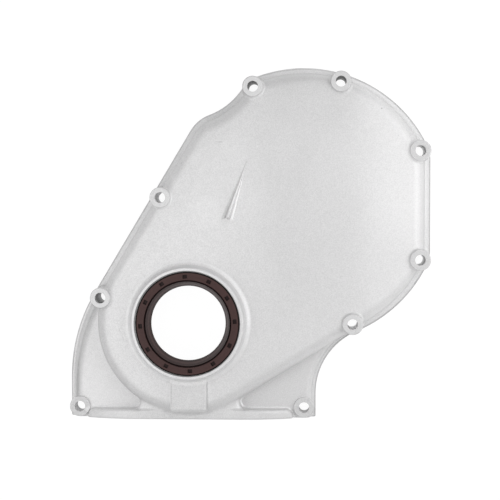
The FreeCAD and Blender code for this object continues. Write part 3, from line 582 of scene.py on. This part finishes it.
def cast_aluminium(look):
    """Blasted casting with milled bosses and sealing faces, a turned hub face and a few marks, with painted
    light and shade on its edges, walls, webs, bosses, hub and holes.
    """
    shader = CastingShader("blasted_aluminium")
    grain = shader.noise(look.grain_size, roughness=0.6)
    mottle = shader.noise(look.mottle_size, detail=3.0, roughness=0.55, seed=1.0)
    cloud = shader.noise(look.mottle_size * 12, seed=2.0)
    across_cut = shader.x + shader.y * 0.3
    cutter = shader.node("TexNoise", {"noise_dimensions": "1D"}, {"W": across_cut, "Scale": 1.6})

    hub_face = shader.above(shader.z, HUB_LEVEL - 0.15, HUB_LEVEL - 0.05) * shader.flat
    boss_top = shader.flat_at(BOSS_LEVEL) + shader.flat_at(CORNER_BOSS_LEVEL)
    gasket_face = shader.above(0 - shader.facing, *FLAT) * shader.below(shader.z, 0.05, 0.1)
    pan_face = shader.below(shader.y, PAN_FACE + 0.02, PAN_FACE + 0.06)
    milled = shader.math("MAXIMUM", gasket_face, pan_face)

    rougher = shader.below(shader.x, -20, 70)
    tone = 1.0 + (grain - 0.5) * (0.52 + rougher * 0.12) + (mottle - 0.5) * (0.08 + rougher * 0.10)
    tone = tone + (cloud - 0.5) * 0.05 + milled * ((cutter - 0.5) * 0.25 - (grain - 0.5) * 0.4)
    # Painted light and shade on the flange, webs, walls, bosses, hub and hole walls
    for change in (flange_painted_shading, web_painted_shading, wall_painted_shading, boss_painted_shading, hub_painted_shading, hole_painted_light):
        tone = tone + change(shader)

    # Painted shade lines along the rim, inside the crank wall and beside the left web's edge
    lines = rim_painted_shade(shader) + crank_wall_shade(shader) + left_web_shade(shader)
    # Broad painted light and shade and the painted lines, off the boss tops, with the rib's painted light
    # and shade, then the marks
    drawn = (broad_painted_shading(shader) - lines) * (1 - boss_top) + rib_painted_shading(shader)
    for place, size, turn, lighter in MARKS_AND_PAINTED_LIGHT:
        drawn = drawn + shader.spot(place, size, turn) * lighter
    tone = tone + drawn * shader.above(shader.facing, 0, 0.2)

    low = shader.below(shader.y, -20, 10)
    top_tone = shader.above(shader.over_slope, 10, 40) * (1 - low) * 0.07
    top_tone = top_tone - shader.above(shader.x, 105, 145) * 0.08 - low * 0.03
    colour = shader.mix(hub_face, look.cast_colour, look.machined_colour)
    colour = shader.mix(boss_top, colour, look.boss_colour)
    colour = shader.shade(colour, tone + boss_top * top_tone)
    bump = shader.node("Bump", {}, {"Strength": 0.25, "Distance": 0.0001, "Height": grain})
    roughness = look.cast_roughness + (mottle - 0.5) * 0.1
    roughness = roughness - hub_face * 0.08 + boss_top * 0.12 - milled * 0.15
    return shader.finish({"Base Color": colour, "Metallic": look.metal_share, "Roughness": roughness,
                          "Normal": bump})


def moulded_rubber(look):
    """Moulded rubber: a brown face, a black rim where it is pressed in, painted as the shadow in the gap
    round the seal, painted shade in the groove round the lip and in the pockets, and a painted highlight on
    the lip.
    """
    shader = Shader("seal_rubber")
    grain = shader.noise(size=0.6)
    cloud = shader.noise(size=6.0, seed=1.0)
    # Painted shadow: the black outer rim stands for the shadow in the gap round the seal
    rim = shader.above(shader.reach, SEAL_RADIUS - 1.0, SEAL_RADIUS - 0.7)
    outer = shader.above(shader.reach, SEAL_RADIUS - 2.6, SEAL_RADIUS - 2.0)
    lip = shader.below(shader.reach, LIP_RADIUS - 0.2, LIP_RADIUS)
    # Painted highlight in a ring on the lip
    lip_highlight = shader.band(shader.z, SEAL_FRONT - 5.5, SEAL_FRONT - 3.9, 0.8) * lip
    # Painted shade in the groove round the lip and, weaker, in the pockets
    groove = shader.band(shader.reach, LIP_RADIUS, LIP_RADIUS + 1.1)
    groove = groove * shader.below(shader.z, SEAL_FRONT - 1.2, SEAL_FRONT - 0.8)
    pocket = shader.band(shader.reach, LIP_RADIUS + 1.5, SEAL_RADIUS - 1.0)
    pocket = pocket * shader.band(shader.z, SEAL_FRONT - 1.6, SEAL_FRONT - 0.3)
    colour = shader.mix(lip, look.rubber_colour, look.lip_colour)
    colour = shader.mix(rim, colour, look.rim_shadow_colour)
    colour = shader.mix(shader.math("MAXIMUM", groove, pocket * 0.75), colour, look.groove_shade_colour)
    colour = shader.shade(colour, 0.72 + grain * 0.3 + cloud * 0.26 + lip_highlight * 0.9 + outer * 0.08)
    bump = shader.node("Bump", {}, {"Strength": 0.1, "Distance": 0.0001, "Height": grain})
    roughness = 0.45 + groove * 0.3 - lip_highlight * 0.1
    return shader.finish({"Base Color": colour, "Roughness": roughness, "Specular IOR Level": 0.18,
                          "Normal": bump})


def steel(name, look, roughness):
    """Plain steel with faint drawing marks."""
    shader = Shader(name)
    marks = shader.noise(size=0.4)
    darker = [each * 0.85 for each in look.steel_colour]
    colour = shader.mix(marks, darker, look.steel_colour)
    return shader.finish({"Base Color": colour, "Metallic": 1.0, "Roughness": roughness + marks * 0.1})


def give(node, material):
    """Gives a CAD node one material."""
    mesh = frame["nodes"][node].data
    mesh.materials.clear()
    mesh.materials.append(material)


class TIMING_OT_casting(bpy.types.Operator):
    """Finishes the casting"""
    bl_idname = "timing.casting"
    bl_label = "Casting"

    def execute(self, context):
        give("timing_cover", cast_aluminium(context.scene.timing_casting))
        return {"FINISHED"}


class TIMING_OT_seal(bpy.types.Operator):
    """Finishes the rubber of the crankshaft seal and its steel case"""
    bl_idname = "timing.seal"
    bl_label = "Seal"

    def execute(self, context):
        look = context.scene.timing_seal
        give("seal_body", moulded_rubber(look))
        give("seal_case", steel("case_steel", look, roughness=0.35))
        return {"FINISHED"}


def settle(thing):
    """Applies the place and the turn of an object."""
    bpy.ops.object.select_all(action="DESELECT")
    thing.select_set(True)
    bpy.context.view_layer.objects.active = thing
    bpy.ops.object.transform_apply(location=True, rotation=True, scale=True)


def apply_modifier(thing, name, kind, settings):
    """Adds a modifier with its settings and applies it."""
    modifier = thing.modifiers.new(name, kind)
    for each, setting in settings.items():
        setattr(modifier, each, setting)
    bpy.ops.object.modifier_apply(modifier=modifier.name)


class TIMING_OT_spring(bpy.types.Operator):
    """Winds the seal's garter spring, in the place of the plain ring"""
    bl_idname = "timing.spring"
    bl_label = "Spring"

    def execute(self, context):
        shape = context.scene.timing_spring
        tube = (SPRING_HIGH.z - SPRING_LOW.z) / 2
        ring = SPRING_HIGH.x - tube
        length = 2 * math.pi * ring
        turns = round(length / shape.pitch)
        bpy.ops.object.select_all(action="DESELECT")
        bpy.ops.mesh.primitive_circle_add(vertices=WIRE_SIDES, radius=shape.wire,
                                          location=(tube - shape.wire, 0, 0), rotation=(math.pi / 2, 0, 0))
        spring = context.object
        spring.name = "spring_coil"
        settle(spring)
        apply_modifier(spring, "winding", "SCREW", {
            "axis": "Z", "screw_offset": length / turns, "iterations": turns, "steps": shape.steps,
            "render_steps": shape.steps})
        spring.rotation_euler = (0, math.pi / 2, 0)
        spring.location.x = -length / 2
        settle(spring)
        bend = 2 * math.pi * spring.dimensions.x / length
        apply_modifier(spring, "ring", "SIMPLE_DEFORM", {
            "deform_method": "BEND", "deform_axis": "Z", "angle": bend})
        spring.location = (0, -ring, SPRING_LOW.z + tube)
        settle(spring)
        bpy.ops.object.mode_set(mode="EDIT")
        bpy.ops.mesh.select_all(action="SELECT")
        bpy.ops.mesh.remove_doubles(threshold=JOIN_DISTANCE)
        bpy.ops.mesh.normals_make_consistent(inside=False)
        bpy.ops.object.mode_set(mode="OBJECT")
        bpy.ops.object.shade_smooth()
        spring.data.materials.append(steel("spring_steel", context.scene.timing_seal, roughness=0.25))
        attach(spring, "root")
        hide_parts("garter_spring")
        return {"FINISHED"}


def set_world(ambient):
    """Surroundings: a studio that is white to the camera and lights the object more softly."""
    world = bpy.data.worlds.new("studio")
    bpy.context.scene.world = world
    nodes = Nodes(world)
    seen = nodes.seen_by("Is Camera Ray")
    level = nodes.node("MapRange", inputs={"Value": seen, "To Min": ambient, "To Max": 1.0})
    nodes.end("World", nodes.node("Background", inputs={"Color": (1, 1, 1, 1), "Strength": level}))


def floor_white():
    """White floor that keeps a soft shadow."""
    material = bpy.data.materials.new("floor_white")
    nodes = Nodes(material)
    seen = nodes.seen_by("Is Camera Ray", "Is Glossy Ray", "Is Transmission Ray")
    matt = nodes.node("BsdfDiffuse", inputs={"Color": FLOOR_COLOUR})
    glow = nodes.node("Emission", inputs={"Strength": FLOOR_GLOW})
    nodes.end("Material", nodes.node("MixShader", inputs={0: seen * FLOOR_GLOW_SHARE, 1: matt, 2: glow}))
    return material


def aim(thing, target):
    """Turns a camera or a lamp so that it looks at a point, with +Y up."""
    back = (thing.location - Vector(target)).normalized()
    right = Vector((0, 1, 0)).cross(back).normalized()
    thing.rotation_euler = Matrix((right, back.cross(right), back)).transposed().to_euler()


def add_lamp(name, place, width, power):
    """Adds a square soft lamp that looks at the object."""
    bpy.ops.object.light_add(type="AREA", location=place)
    lamp = bpy.context.object
    lamp.name = name
    lamp.data.size = width
    lamp.data.energy = power
    aim(lamp, LAMP_TARGET)


class TIMING_OT_stage(bpy.types.Operator):
    """Adds the camera, the lamps, the surroundings and the floor"""
    bl_idname = "timing.stage"
    bl_label = "Stage"

    def execute(self, context):
        look = context.scene.timing_stage
        bpy.ops.object.camera_add(location=look.camera_place)
        camera = context.object
        camera.data.lens = look.lens
        aim(camera, look.camera_target)
        context.scene.camera = camera
        bpy.ops.mesh.primitive_plane_add(size=FLOOR_WIDTH, location=(0, 0, -FLOOR_GAP))
        floor = context.object
        floor.name = "floor"
        floor.data.materials.append(floor_white())
        for name, (turn, rise, distance, width, power) in LAMPS.items():
            way = Euler((0, -math.radians(rise), math.radians(turn))).to_matrix() @ Vector((distance, 0, 0))
            add_lamp(name, Vector(LAMP_TARGET) + way, width, power * look.lamp_level)
        set_world(look.ambient)
        context.scene.view_settings.view_transform = "Standard"
        return {"FINISHED"}


class TIMING_PT_panel(bpy.types.Panel):
    """Sidebar panel that lists the steps"""
    bl_label = "Timing cover"
    bl_space_type = "VIEW_3D"
    bl_region_type = "UI"
    bl_category = "Timing cover"

    def draw(self, context):
        for each in OPERATORS:
            self.layout.operator(each.bl_idname)


OPERATORS = (TIMING_OT_stage, TIMING_OT_casting, TIMING_OT_seal, TIMING_OT_spring)
LOOKS = {"timing_casting": CastingLook, "timing_seal": SealLook, "timing_spring": SpringShape,
         "timing_stage": StageLook}
CLASSES = (*LOOKS.values(), *OPERATORS, TIMING_PT_panel)


def register():
    """Registers the classes and the looks."""
    for each in CLASSES:
        bpy.utils.register_class(each)
    for name, look in LOOKS.items():
        setattr(bpy.types.Scene, name, PointerProperty(type=look))


def unregister():
    """Takes the looks and the classes away."""
    for name in LOOKS:
        delattr(bpy.types.Scene, name)
    for each in reversed(CLASSES):
        bpy.utils.unregister_class(each)


def run(idname):
    """Runs an operator by its name."""
    group, name = idname.split(".")
    getattr(getattr(bpy.ops, group), name)()


def main():
    """Builds the scene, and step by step."""
    register()
    for each in OPERATORS:
        run(each.bl_idname)


if __name__ == "__main__":
    main()
